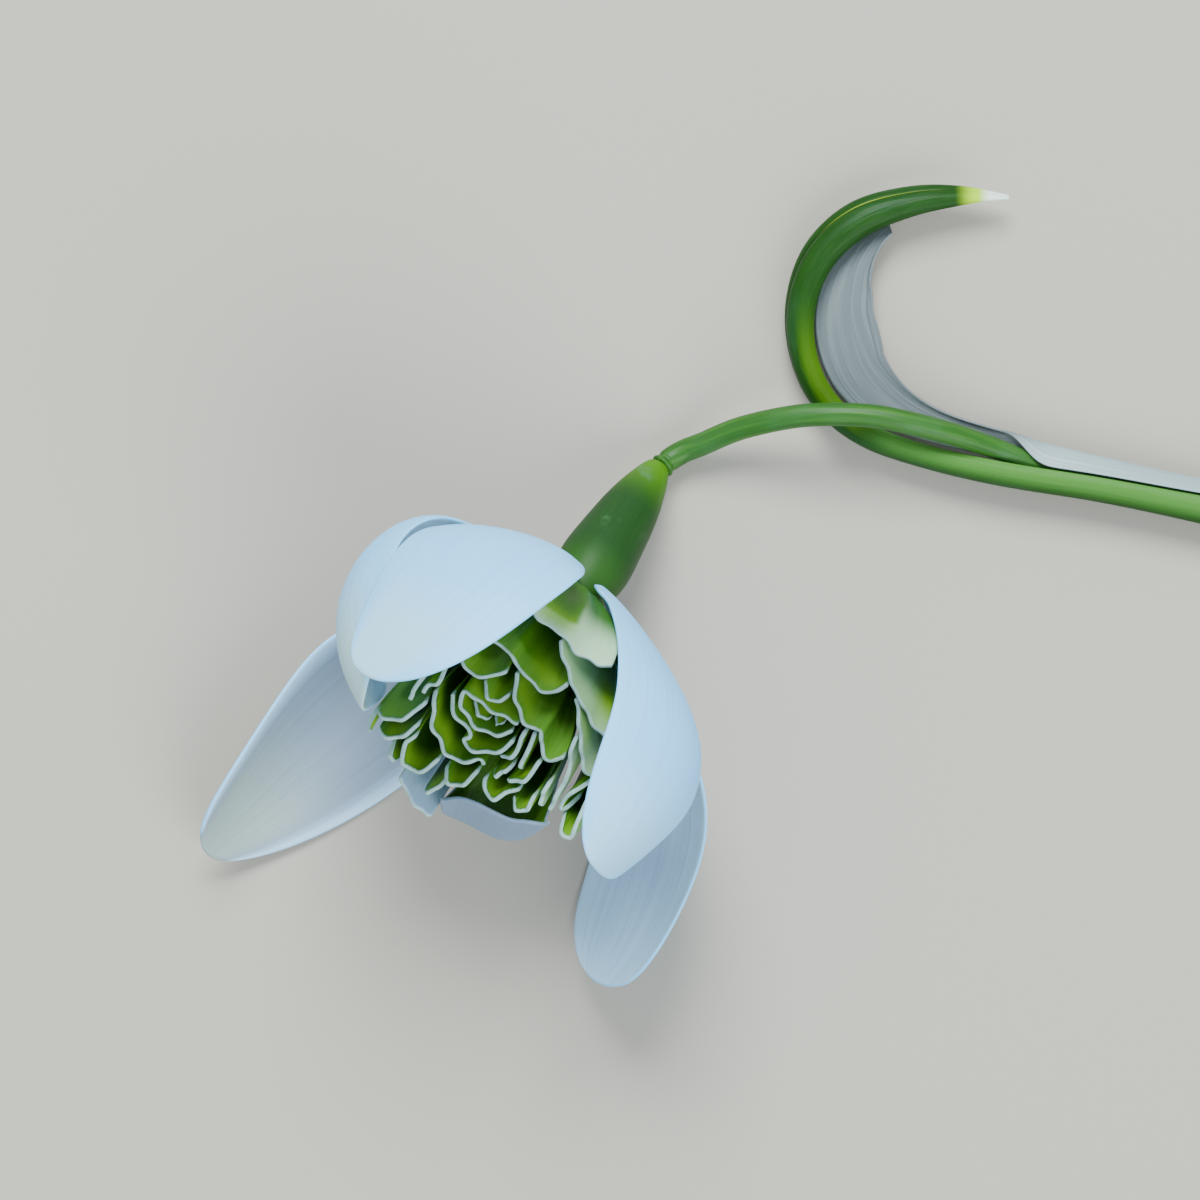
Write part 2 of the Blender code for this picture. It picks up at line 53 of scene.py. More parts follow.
# %% [markdown]
# ## The flower's own directions
# A flower is easiest to think about along its axis, which runs from the ovary out through the
# mouth.  This one nods, so the axis leans 55 degrees from upright.  Two more directions lie
# across it: one up the open face, one sideways.  The base point is found from the ovary's box,
# because the ovary is a turned body whose box about its own base is easy to work out.

# %% Axis, face directions and base point
OVARY_PROFILE = [
    (1.95, 0.00), (1.85, 0.55), (1.55, 1.05), (1.15, 1.40), (0.65, 1.78), (-0.10, 2.02),
    (-0.90, 2.10), (-2.00, 2.02), (-3.50, 1.78), (-5.00, 1.52), (-6.40, 1.22), (-7.60, 0.88),
    (-8.60, 0.60), (-9.10, 0.50), (-9.25, 0.00),
]
tilt = math.radians(55.0)
heading = math.radians(237.1)
away = np.array([math.cos(heading), math.sin(heading), 0.0])
upright = np.array([0.0, 0.0, 1.0])
AXIS = math.sin(tilt) * away + math.cos(tilt) * upright
FACE_UP = -math.cos(tilt) * away + math.sin(tilt) * upright
FACE_SIDE = np.cross(FACE_UP, AXIS)

heights = np.array([height for height, radius in OVARY_PROFILE])[:, None]
radii = np.array([radius for height, radius in OVARY_PROFILE])[:, None]
spread = radii * np.sqrt(1.0 - AXIS ** 2)
turned_middle = ((heights * AXIS + spread).max(0) + (heights * AXIS - spread).min(0)) / 2
low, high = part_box("ovary")
BASE = (np.array(low) + np.array(high)) / 2 / MM - turned_middle
print("base point in mm:", BASE.round(2))

# %% [markdown]
# ## Smooth curves through a few numbers
# A stalk's route, a petal's bend and a petal's rim are all given by a handful of values with a
# smooth curve through them.  A Catmull-Rom curve passes through every value, so each number
# can be read straight off the shape.

# %% Curves
def through(values, share):
    """Smooth curve through equally spaced values, read at a share from 0 to 1."""
    values = [float(value) for value in values]
    spans = len(values) - 1
    place = min(max(share, 0.0), 1.0) * spans
    span = min(int(place), spans - 1)
    t = place - span
    padded = [2 * values[0] - values[1]] + values + [2 * values[-1] - values[-2]]
    a, b, c, d = padded[span:span + 4]
    return 0.5 * (2 * b + (c - a) * t + (2 * a - 5 * b + 4 * c - d) * t ** 2
                  + (3 * b - a - 3 * c + d) * t ** 3)


def route_point(route, share):
    """Point on the smooth curve through a route's points."""
    return np.array([through(column, share) for column in zip(*route)])


def ease(value, start, end):
    """0 before start, 1 after end, and a smooth step between."""
    t = min(max((value - start) / (end - start), 0.0), 1.0)
    return t * t * (3 - 2 * t)


# %% [markdown]
# ## Petals from a bent grid
# A petal is a thin curved sheet.  By hand one would add a grid, pull it into shape and give it
# a wall.  Pulling forty petals by eye would never keep them clear of each other, so here the
# grid's points are placed by a rule for each kind of petal, and the rest is done as by hand:
# Solidify gives the wall, thinner towards the margin, and Subdivision rounds the edge.  The
# grid's own directions are kept as attributes, `across` and `along`, for the veins and tints.

# %% The grid and its attributes
def add_grid(name, columns, rows):
    bpy.ops.object.select_all(action="DESELECT")
    bpy.ops.mesh.primitive_grid_add(x_subdivisions=columns, y_subdivisions=rows, size=2.0)
    piece = bpy.context.object
    piece.name = name
    piece.data.name = name
    return piece


def shape_grid(piece, place, notes=None):
    """Moves every point where place(across, along) says, in millimetres, and keeps its notes."""
    spots = [(vert.co.x, 0.5 * (vert.co.y + 1.0)) for vert in piece.data.vertices]
    kept = {"across": [s[0] for s in spots], "along": [s[1] for s in spots]}
    for key, rule in (notes or {}).items():
        kept[key] = [rule(*spot) for spot in spots]
    for key, values in kept.items():
        layer = piece.data.attributes.new(key, "FLOAT", "POINT")
        layer.data.foreach_set("value", values)
    points = np.array([place(*spot) for spot in spots]) * MM
    piece.data.vertices.foreach_set("co", points.ravel())
    piece.data.update()
    return spots


def face_outward(piece, centre):
    """Flips the sheet if its faces look towards the centre point."""
    middle = np.array([np.array(face.center) for face in piece.data.polygons])
    normal = np.array([np.array(face.normal) for face in piece.data.polygons])
    if ((middle - centre * MM) * normal).sum() < 0:
        bpy.ops.object.mode_set(mode="EDIT")
        bpy.ops.mesh.select_all(action="SELECT")
        bpy.ops.mesh.flip_normals()
        bpy.ops.object.mode_set(mode="OBJECT")


def thicken(piece, spots, thickness, wall):
    """Gives the sheet a wall, thinner where wall(across, along) is below 1, and rounds it."""
    group = piece.vertex_groups.new(name="wall")
    for index, spot in enumerate(spots):
        group.add([index], wall(*spot), "REPLACE")
    bpy.ops.object.modifier_add(type="SOLIDIFY")
    solidify = piece.modifiers[-1]
    solidify.thickness = thickness * MM
    solidify.offset = 0.0
    solidify.vertex_group = "wall"
    solidify.material_offset = 1
    bpy.ops.object.modifier_apply(modifier=solidify.name)
    bpy.ops.object.modifier_add(type="SUBSURF")
    subdivision = piece.modifiers[-1]
    subdivision.levels = 1
    subdivision.render_levels = 1
    bpy.ops.object.modifier_apply(modifier=subdivision.name)
    bpy.ops.object.shade_smooth()


def keep(piece, node):
    """Ties a finished piece to the frame."""
    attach(piece, "root")
    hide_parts(node)


# %% [markdown]
# ## Small helpers for shader nodes
# Every finish below is a Principled shader fed by a few nodes.  `node` adds one and joins or
# sets its inputs, so that a material reads like a recipe.  Plant skin lets a little light in,
# and `soften` sets how much, how far it spreads and how strong the gloss is.

# %% Node helpers
def new_material(name, roughness):
    made = bpy.data.materials.new(name)
    made.use_nodes = True
    shader = made.node_tree.nodes["Principled BSDF"]
    shader.inputs["Roughness"].default_value = roughness
    return made, made.node_tree, shader


def node(tree, kind, inputs=None, **settings):
    made = tree.nodes.new(kind)
    for key, value in settings.items():
        setattr(made, key, value)
    for key, value in (inputs or {}).items():
        if isinstance(value, bpy.types.NodeSocket):
            tree.links.new(value, made.inputs[key])
        else:
            made.inputs[key].default_value = value
    return made


def attribute(tree, name):
    return node(tree, "ShaderNodeAttribute", attribute_name=name).outputs["Fac"]


def ramp(tree, value, start, end):
    """0 below start, 1 above end, smooth between."""
    made = node(tree, "ShaderNodeMapRange", {"Value": value, "From Min": start, "From Max": end},
                interpolation_type="SMOOTHSTEP")
    return made.outputs["Result"]


def math_node(tree, operation, first, second):
    return node(tree, "ShaderNodeMath", {0: first, 1: second}, operation=operation).outputs[0]


def mix(tree, factor, first, second):
    """Colour mix: first where factor is 0, second where it is 1."""
    made = node(tree, "ShaderNodeMix", {"Factor": factor}, data_type="RGBA")
    for socket, colour in ((made.inputs[6], first), (made.inputs[7], second)):
        if isinstance(colour, bpy.types.NodeSocket):
            tree.links.new(colour, socket)
        else:
            socket.default_value = (*colour, 1.0)
    return made.outputs[2]


def streaks(tree, count, length, detail=2.0):
    """Fine lines that run along a petal or stalk, from its own across and along."""
    across = math_node(tree, "MULTIPLY", attribute(tree, "across"), count)
    along = math_node(tree, "MULTIPLY", attribute(tree, "along"), length)
    spot = node(tree, "ShaderNodeCombineXYZ", {"X": across, "Y": along}).outputs[0]
    noise = node(tree, "ShaderNodeTexNoise", {"Vector": spot, "Scale": 1.0, "Detail": detail})
    return noise.outputs["Fac"]


def mottle(tree, scale, detail=3.0):
    """Cloudy variation in the object's own space; scale is features per metre."""
    place = node(tree, "ShaderNodeTexCoord").outputs["Object"]
    noise = node(tree, "ShaderNodeTexNoise", {"Vector": place, "Scale": scale, "Detail": detail})
    return noise.outputs["Fac"]


def bump(tree, shader, height, strength, distance):
    made = node(tree, "ShaderNodeBump", {"Height": height, "Strength": strength, "Distance": distance})
    tree.links.new(made.outputs["Normal"], shader.inputs["Normal"])


def soften(shader, weight, scale, gloss, radius=None):
    shader.inputs["Subsurface Weight"].default_value = weight
    shader.inputs["Subsurface Scale"].default_value = scale
    shader.inputs["Specular IOR Level"].default_value = gloss
    if radius:
        shader.inputs["Subsurface Radius"].default_value = radius


# %% [markdown]
# ## White petal skin
# An outer petal is a bluish white.  Light passes into it a little, so a small amount of
# subsurface scattering softens its shadows.  Veins run from claw to tip and show more on the
# inside, which also looks greyer.  Two attributes tint it: `flush` is a yellow-green near some
# of the tips, and `grey` is painted shade that darkens a petal in the shade of its neighbours.

# %% White petal materials
def petal_white(name, body, shade, vein_from, vein_share):
    made, tree, shader = new_material(name, 0.48)
    veins = ramp(tree, streaks(tree, 11.0, 0.9), vein_from, 0.72)
    clouds = ramp(tree, mottle(tree, 260.0), 0.35, 0.75)
    tone = mix(tree, math_node(tree, "MULTIPLY", veins, vein_share), body, shade)
    tone = mix(tree, math_node(tree, "MULTIPLY", clouds, 0.10), tone, shade)
    # Painted shade: the petal darkens towards a dim blue-grey where it lies in its neighbours' shade.
    tone = mix(tree, attribute(tree, "grey"), tone, (0.15, 0.19, 0.24))
    tone = mix(tree, attribute(tree, "flush"), tone, (0.62, 0.74, 0.42))
    tree.links.new(tone, shader.inputs["Base Color"])
    soften(shader, 0.25, 0.0008, 0.35, (1.0, 1.0, 1.0))
    bump(tree, shader, veins, 0.25, 0.00006)
    return made


WHITE_OUTSIDE = petal_white("petal_white_outside", (0.20, 0.59, 1.0), (0.14, 0.43, 0.86), 0.48, 0.20)
WHITE_INSIDE = petal_white("petal_white_inside", (0.42, 0.67, 0.88), (0.24, 0.40, 0.56), 0.42, 0.32)
print("white petal finishes:", WHITE_OUTSIDE.name, WHITE_INSIDE.name)

# %% [markdown]
# ## Outer petals
# The five outer petals are spoons.  Each stands on a narrow claw on a ring round the top of
# the ovary, and its midrib bends away by the `flare` angles, swings by `side` and turns by
# `twist`.  Across, the petal is an arc whose half angle is `cup`.  Lengths are in millimetres,
# angles in degrees, and `claw` and `widest` are shares of the width and the length.  A larger
# `tip` is blunter, `lean` makes one side wider than the other, and `shoulder` (side, trim,
# share where it ends) cuts one side back near the claw.

# %% Outer petal table
OUTER_PETALS = {
    "outer_tepal_1": {
        "azimuth": -25.5, "length": 21.6, "width": 10.2, "claw": 0.14,
        "widest": 0.53, "tip": 1.9, "lean": 0.26, "shoulder": (1, 0.55, 0.40),
        "flare": [58, 55, -7, -31], "side": [0, -14, -11, -24], "twist": [0, 7, 20], "cup": [23, 22, 16],
    },
    "outer_tepal_2": {
        "azimuth": -96, "length": 21.1, "width": 13.5, "claw": 0.12,
        "widest": 0.54, "tip": 3.2, "lean": -0.11,
        "flare": [95, 50, -13, -60], "side": [0, 5, 1, -6], "twist": [0, 1, 13], "cup": [56, 46, 61],
    },
    "outer_tepal_3": {
        "azimuth": -156, "length": 25.5, "width": 11.0, "claw": 0.12,
        "widest": 0.57, "tip": 1.8, "lean": 0.17,
        "flare": [91, 55, 32, 32], "side": [0, 4, 5, -1], "twist": [0, -4, -29], "cup": [22, 34, 51],
    },
    "outer_tepal_4": {
        "azimuth": 39.5, "length": 21.7, "width": 10.8, "claw": 0.14,
        "widest": 0.47, "tip": 3.1, "lean": 0.26, "shoulder": (-1, -0.4, 0.16),
        "flare": [58, 45, 1, -26], "side": [0, 18, 10, 7], "twist": [0, 8, -10], "cup": [34, 41, 71],
    },
    "outer_tepal_5": {
        "azimuth": 124, "length": 22.3, "width": 11.1, "claw": 0.13,
        "widest": 0.67, "tip": 3.5, "lean": -0.16,
        "flare": [84, 70, 36, 14], "side": [0, 2, 15, 23], "twist": [0, 7, 5], "cup": [33, 29, 33],
    },
}
FLUSH = {"outer_tepal_1": 0.35, "outer_tepal_2": 0.55, "outer_tepal_4": 0.25, "outer_tepal_3": 0.25}
# Painted shade for the outer petal that lies in the shade of its neighbours.
PAINTED_SHADE = {"outer_tepal_3": 0.85}
CLAW_RING_RADIUS = 1.9
CLAW_RING_HEIGHT = 1.45
RIB_STEPS = 80
OUTER_WALL = 0.42
LAST_ROW_SHARE = 0.975
TIP_EASE = 3
SHOULDER_START = 0.05
SHOULDER_FULL = 0.6


# %% The rule for an outer petal
def width_share(petal, share):
    """Share of the full width, from the claw up to the widest place."""
    rise = min(share / petal["widest"], 1.0)
    return petal["claw"] + (1.0 - petal["claw"]) * math.sin(rise * math.pi / 2) ** 1.25


def outline_share(petal, share):
    """Share of the full width all the way to the tip."""
    if share <= petal["widest"]:
        return width_share(petal, share)
    fall = min((share - petal["widest"]) / (1.0 - petal["widest"]), 1.0)
    return math.sqrt(max(0.0, 1.0 - fall ** petal["tip"]))


def midrib(petal):
    """Point, sideways direction and normal at each step from claw to tip."""
    azimuth = math.radians(petal["azimuth"])
    outward = math.cos(azimuth) * FACE_UP + math.sin(azimuth) * FACE_SIDE
    around = -math.sin(azimuth) * FACE_UP + math.cos(azimuth) * FACE_SIDE
    point = CLAW_RING_RADIUS * outward + CLAW_RING_HEIGHT * AXIS
    rib = []
    for step in range(RIB_STEPS):
        share = step / (RIB_STEPS - 1)
        flare, swing, turn = [math.radians(through(petal[key], share)) for key in ("flare", "side", "twist")]
        ahead = math.cos(flare) * AXIS + math.sin(flare) * outward
        ahead = math.cos(swing) * ahead + math.sin(swing) * around
        normal = math.cos(flare) * outward - math.sin(flare) * AXIS
        normal -= ahead * (normal @ ahead)
        normal /= np.linalg.norm(normal)
        sideways = np.cross(ahead, normal)
        if sideways @ around < 0:
            sideways = -sideways
        if rib:
            point = point + 0.5 * (ahead + rib[-1][3]) * petal["length"] / (RIB_STEPS - 1)
        rib.append((point, sideways * math.cos(turn) + normal * math.sin(turn),
                    normal * math.cos(turn) - sideways * math.sin(turn), ahead))
    return rib


def outer_petal_rule(petal):
    """place(across, along) for one outer petal."""
    rib = midrib(petal)
    fall = 1.0 - petal["widest"]
    last_row = outline_share(petal, LAST_ROW_SHARE)
    shoulder_side, trim, fade = petal.get("shoulder", (1, 0.0, 1.0))

    def rounded(across, along):
        """Share of the length, with the rows bent back to follow the tip's outline."""
        end = petal["widest"] + fall * (1.0 - (across * last_row) ** 2) ** (1.0 / petal["tip"])
        return along * (1.0 - along ** TIP_EASE * (1.0 - end))

    def place(across, along):
        share = rounded(across, along)
        offset = across * outline_share(petal, rounded(1.0, along)) * 0.5 * petal["width"]
        offset *= 1.0 + petal["lean"] * math.copysign(1.0, offset)
        cut = trim * (1.0 - ease(share, SHOULDER_START, fade))
        offset *= 1.0 - cut * ease(shoulder_side * across, 0.0, SHOULDER_FULL)
        radius = 0.5 * petal["width"] * width_share(petal, share)
        radius /= math.radians(through(petal["cup"], share))
        spot = share * (len(rib) - 1)
        first = min(int(spot), len(rib) - 2)
        part = spot - first
        point, sideways, normal = [rib[first][k] * (1 - part) + rib[first + 1][k] * part for k in range(3)]
        angle = offset / radius
        return (BASE + point + radius * math.sin(angle) * sideways
                - radius * (1 - math.cos(angle)) * normal)

    return place


# %% Make the outer petals
def thin_margin(across, along):
    """Full wall down the middle, a fine margin at the sides and the tip."""
    edge = max(abs(across), 1.0 - 1.9 * (1.0 - along))
    return 1.0 - 0.5 * ease(edge, 0.55, 1.0)


for name, petal in OUTER_PETALS.items():
    def tip_flush(across, along, strength=FLUSH.get(name, 0.0)):
        return strength * ease(along, 0.62, 0.9) * ease(1.0 - abs(across), 0.0, 0.6)

    # Painted shade, full down the middle of the petal and fading out at its margins.
    def grey(across, along, strength=PAINTED_SHADE.get(name, 0.0)):
        return strength * (1.0 - ease(abs(across), 0.72, 1.0))

    piece = add_grid("petal_" + name[-1] + "_outer", columns=24, rows=34)
    spots = shape_grid(piece, outer_petal_rule(petal), {"flush": tip_flush, "grey": grey})
    face_outward(piece, BASE + 7.0 * AXIS)
    piece.data.materials.append(WHITE_OUTSIDE)
    piece.data.materials.append(WHITE_INSIDE)
    thicken(piece, spots, OUTER_WALL, thin_margin)
    keep(piece, name)
    print(piece.name, len(piece.data.polygons), "faces")

# %% [markdown]
# ## Green and white petal skin
# The inner petals are green with a white margin.  The outside is pale, with a deep green patch
# that stops short of the margin and fine pale veins; the inside is a deeper yellow-green that
# darkens towards the base, partly by its own colour and partly by painted shade.  Five
# attributes steer this: `margin` is the distance to the rim in millimetres, `depth` the
# distance down from it, `patch` the strength of the dark mark, `painted_glow` that of a painted
# yellow-green highlight just below the rim and `pale` how washed out the whole petal is.

# %% Green petal materials
RIM_WHITE = (0.31, 0.48, 0.45)


def petal_green(name, leaf, deep, low, low_from):
    made, tree, shader = new_material(name, 0.44)
    veins = ramp(tree, streaks(tree, 9.0, 1.4), 0.42, 0.70)
    cloud = math_node(tree, "MULTIPLY", mottle(tree, 900.0), 0.5)
    patch = math_node(tree, "ADD", attribute(tree, "patch"), cloud)
    tone = mix(tree, math_node(tree, "MULTIPLY", attribute(tree, "pale"), 0.8), leaf, (0.42, 0.62, 0.42))
    tone = mix(tree, math_node(tree, "MULTIPLY", veins, 0.14), tone, (0.30, 0.50, 0.14))
    tone = mix(tree, ramp(tree, patch, 0.40, 1.05), tone, deep)
    # Painted highlight: a yellow-green band a little below the rim.
    tone = mix(tree, attribute(tree, "painted_glow"), tone, (0.24, 0.46, 0.01))
    # Darker towards the base, partly the petal's own colour and partly painted shade: the tone goes over to
    # `low` between `low_from` and 3.2 times that depth below the rim.
    tone = mix(tree, ramp(tree, attribute(tree, "depth"), low_from, 3.2 * low_from), tone, low)
    uneven = math_node(tree, "MULTIPLY", mottle(tree, 2600.0), 0.24)
    rim = ramp(tree, math_node(tree, "ADD", attribute(tree, "margin"), uneven), 0.12, 0.30)
    tone = mix(tree, rim, RIM_WHITE, tone)
    tree.links.new(tone, shader.inputs["Base Color"])
    soften(shader, 0.12, 0.0005, 0.35, (0.7, 1.0, 0.3))
    bump(tree, shader, veins, 0.25, 0.00005)
    return made


# The last two values of each finish give the darkening towards the base, partly its own colour and partly
# painted shade; in the hollow of the broad pale petal it hardly darkens.
GREEN_OUTSIDE = petal_green("petal_green_outside", (0.10, 0.27, 0.018), (0.05, 0.18, 0.0),
                            (0.03, 0.12, 0.005), 1.8)
GREEN_INSIDE = petal_green("petal_green_inside", (0.045, 0.155, 0.004), (0.014, 0.07, 0.0),
                           (0.010, 0.05, 0.0), 0.6)
GREEN_HOLLOW = petal_green("petal_green_hollow", (0.08, 0.22, 0.01), (0.05, 0.17, 0.0),
                           (0.07, 0.22, 0.004), 3.0)
print("green petal finishes:", GREEN_OUTSIDE.name, GREEN_INSIDE.name, GREEN_HOLLOW.name)

# %% [markdown]
# ## Inner petals
# A double snowdrop packs dozens of short petals into a rosette.  Each hangs like a curtain
# from its rim: the rim is a short curve in the plan of the flower's face, and one shared map
# carries it down to the floral disc.  Rims that keep apart therefore stay apart all the way
# down.  A real rim is never smooth, so each one gets a ruffle and a slight sag.
#
# The table gives each petal's rim as (up, side) in millimetres, how far it is lifted along the
# axis, the share that its corners drop, and its belly, the distance it swells outward.  Only
# petal 23, the broad pale one below the rosette, has a belly.

# %% Inner petal table
INNER_PETALS = [
    ("inner_tepal_01", [(6.7, -2.6), (6.45, -1.45), (6.25, -0.35), (6.25, 0.8), (5.85, 1.85),
                        (5.9, 2.95), (6.1, 3.8)], 0.0, 0.03, 0.0),
    ("inner_tepal_02", [(5.75, 0.65), (4.45, 2.25), (3.35, 3.95), (2.4, 5.75)], 0.0, 0.03, 0.0),
    ("inner_tepal_03", [(3.6, -2.5), (3.6, -1.8), (3.8, -1.1), (3.4, -0.6), (3.25, 0.05),
                        (3.05, 0.75), (3, 1.4), (3.2, 2.05), (3.85, 2.3)], 0.0, 0.05, 0.0),
    ("inner_tepal_04", [(2.85, -0.4), (2.3, -0.05), (1.8, 0.35), (1.35, 0.8), (0.95, 1.35),
                        (0.9, 1.95), (1.05, 2.5), (0.5, 2.75), (0, 3.2), (-0.2, 3.8),
                        (0.15, 4.3)], 0.0, 0.04, 0.0),
    ("inner_tepal_05", [(3.35, 3.05), (2.35, 4.2), (1.1, 5.05), (-0.05, 6.05)], 0.0, 0.05, 0.0),
    ("inner_tepal_06", [(1.6, 4.2), (-0.5, 5.05), (-2.75, 5.15)], 0.0, 0.03, 0.0),
    ("inner_tepal_07", [(-2.75, 5.85), (-3.05, 6.4), (-3.05, 6.95), (-2.15, 6.9), (-1.35, 6.55)],
     0.2, 0.08, 0.0),
    ("inner_tepal_08", [(1.8, -3.35), (1.6, -2.4), (1.95, -1.55), (2.6, -0.85)], 0.0, 0.05, 0.0),
    ("inner_tepal_09", [(1.35, -1.6), (0.95, -0.75), (1.45, 0)], 0.0, 0.05, 0.0),
    ("inner_tepal_10", [(0.45, 1.25), (0.4, 0.4), (0.4, -0.5), (0.6, -1.35), (0.5, -2.15),
                        (-0.25, -1.95), (-0.65, -1.15), (-0.8, -0.3), (-0.75, 0.55),
                        (-0.15, 1.15)], 0.0, 0.04, 0.0),
    ("inner_tepal_11", [(0.05, -1.5), (-0.3, -0.85), (-0.4, -0.2)], -0.2, 0.06, 0.0),
    ("inner_tepal_12", [(-0.2, -2.7), (-0.75, -2.15), (-1.1, -1.4), (-1.3, -0.65),
                        (-1.85, -0.75), (-2, -0.05), (-1.75, 0.65), (-1.2, 1.2),
                        (-0.55, 1.5)], 0.0, 0.03, 0.0),
    ("inner_tepal_13", [(0.35, 1.75), (-0.8, 1.95), (-1.85, 1.4)], 0.0, 0.05, 0.0),
    ("inner_tepal_14", [(0.45, 2.25), (-0.65, 2.5), (-1.7, 2.65)], 0.0, 0.05, 0.0),
    ("inner_tepal_15", [(-1.75, 2.15), (-2.3, 1.9), (-2.75, 1.5)], 0.0, 0.05, 0.0),
    ("inner_tepal_16", [(-3.2, 1.3), (-3.7, 1.75), (-3.7, 2.4), (-3.1, 2.7), (-2.65, 3.2)],
     0.0, 0.05, 0.0),
    ("inner_tepal_17", [(-3.45, 3.1), (-3.5, 3.7), (-3.2, 4.15), (-2.6, 4.1)], 0.0, 0.05, 0.0),
    ("inner_tepal_18", [(-0.55, -3.5), (-1.3, -3.1), (-2.05, -2.75), (-2.45, -1.95),
                        (-3, -1.25), (-3, -0.4), (-2.45, 0.35), (-2.7, 0.85)], 0.0, 0.04, 0.0),
    ("inner_tepal_19", [(-3.35, -3.05), (-3.95, -3.35), (-4.8, -2.9), (-4.75, -1.95), (-3.95, -1.3)],
     0.0, 0.05, 0.0),
    ("inner_tepal_20", [(-4.1, -0.85), (-4.35, -0.15), (-3.95, 0.5), (-3.3, 0.8)],
     0.0, 0.05, 0.0),
    ("inner_tepal_21", [(-3.5, -5.55), (-2.75, -4.25), (-1.35, -3.65)], 0.0, 0.05, 0.0),
    ("inner_tepal_22", [(0.85, -3.75), (0.2, -3.7), (-0.4, -4), (-1.1, -4.05)], 0.0, 0.05, 0.0),
    ("inner_tepal_23", [(-5.25, -0.15), (-4.55, 0.65), (-4.3, 1.7), (-4.2, 2.75), (-4, 3.8),
                        (-3.45, 4.7), (-2.95, 5.65)], 0.0, 0.03, 2.6),
    ("inner_tepal_24", [(-5.75, -2.65), (-6.4, -1.15), (-6.65, 0)], 0.0, 0.04, 0.0),
    ("inner_tepal_25", [(6.2, -3.6), (5.1, -4.8), (3.8, -5.8)], 0.0, 0.14, 0.0),
    ("inner_tepal_26", [(2.9, -6), (1.5, -6.4), (0, -6.4)], 0.0, 0.14, 0.0),
    ("inner_tepal_27", [(5, -2.4), (4.4, -3.65), (3.4, -4.6)], 0.0, 0.12, 0.0),
    ("inner_tepal_28", [(2.5, -5), (0.6, -5.45), (-1.3, -5.1)], 0.0, 0.12, 0.0),
    ("inner_tepal_29", [(2.7, -3.9), (1.65, -4.4), (0.5, -4.6)], 0.0, 0.10, 0.0),
    ("inner_tepal_30", [(4.9, 4.6), (4.15, 5.55), (3.2, 6.2)], 0.0, 0.14, 0.0),
    ("inner_tepal_31", [(2, 6.2), (1.15, 6.55), (0.25, 6.65)], 0.0, 0.14, 0.0),
    ("inner_tepal_32", [(-0.75, 3.35), (-1.85, 3.15), (-2.7, 2.4)], 0.0, 0.05, 0.0),
    ("inner_tepal_33", [(-4.35, -5), (-3.8, -4), (-2.85, -3.25)], 0.0, 0.05, 0.0),
    ("inner_tepal_34", [(-3.95, -5.6), (-4.2, -5.5), (-4.4, -5.35)], 0.0, 0.10, 0.0),
    ("inner_tepal_35", [(-4.45, -4), (-4.9, -3.65), (-5.25, -3.15)], 0.0, 0.10, 0.0),
    ("inner_tepal_36", [(-1.55, 4.3), (-2.15, 4.55), (-2.85, 4.65)], 0.0, 0.05, 0.0),
    ("inner_tepal_37", [(-0.1, 0), (-0.25, 0.25), (-0.2, 0.55)], -0.3, 0.06, 0.0),
    ("inner_tepal_38", [(-0.3, 6.35), (-0.75, 6), (-1.2, 5.72), (-1.75, 5.62), (-2.3, 5.65),
                        (-2.4, 5.9), (-1.95, 6.15)], -0.4, 0.08, 0.0),
    ("inner_tepal_39", [(-1.75, -4.45), (-1.05, -4.55), (-0.15, -4.45)], 0.0, 0.05, 0.0),
    ("inner_tepal_40", [(-5.9, -1.1), (-5.3, -0.8), (-4.75, -0.4)], 0.0, 0.10, 0.0),
]
FACE_HEIGHT = 11.75
FACE_SLOPE = 0.477
DISC_HEIGHT = 1.9
DISC_SHARE = 0.26
BULGE = math.radians(102.0)
INNER_WALL = 0.26
ROW_EASE = 1.7
PETAL_DEPTH = 10.0
SAG = 0.010
RUFFLE = 0.05
WAVE_LENGTH = 2.2
CLAW_START = 0.07
CLAW_SHARE = 0.40
WIDE_CLAW = {"05": 0.8, "06": 0.8, "07": 0.9, "24": 0.9, "38": 0.7, "40": 0.9}


# %% Green marks and painted highlights: middle and half width across, start below the rim in mm, and the highlight's strength
PATCHES = {
    "01": (-0.35, 0.55, 0.8), "02": (0.9, 0.5, 4.5), "03": (-0.25, 0.65, 0.8), "04": (0.0, 0.9, 1.6),
    "05": (0.2, 0.8, 1.5),
}
# Painted yellow-green highlights below the rim, with their strength last.
PAINTED_GLOWS = {
    "01": (-0.30, 0.55, 1.0, 0.7), "02": (0.75, 0.7, 2.6, 1.0), "03": (0.55, 0.8, 1.2, 0.6),
    "04": (-0.5, 0.6, 0.8, 0.5), "32": (0.0, 0.9, 0.6, 0.7), "34": (0.0, 1.2, 0.3, 1.0),
}
PALE = {"01": 0.9, "02": 0.55, "05": 0.7, "06": 0.9, "24": 0.9, "36": 0.7}


# %% The rule for an inner petal
def plan_scale(rise):
    """Size of the rosette's plan at a share of the way from the disc to the rim."""
    return DISC_SHARE + (1 - DISC_SHARE) * math.sin(BULGE * rise) / math.sin(BULGE)


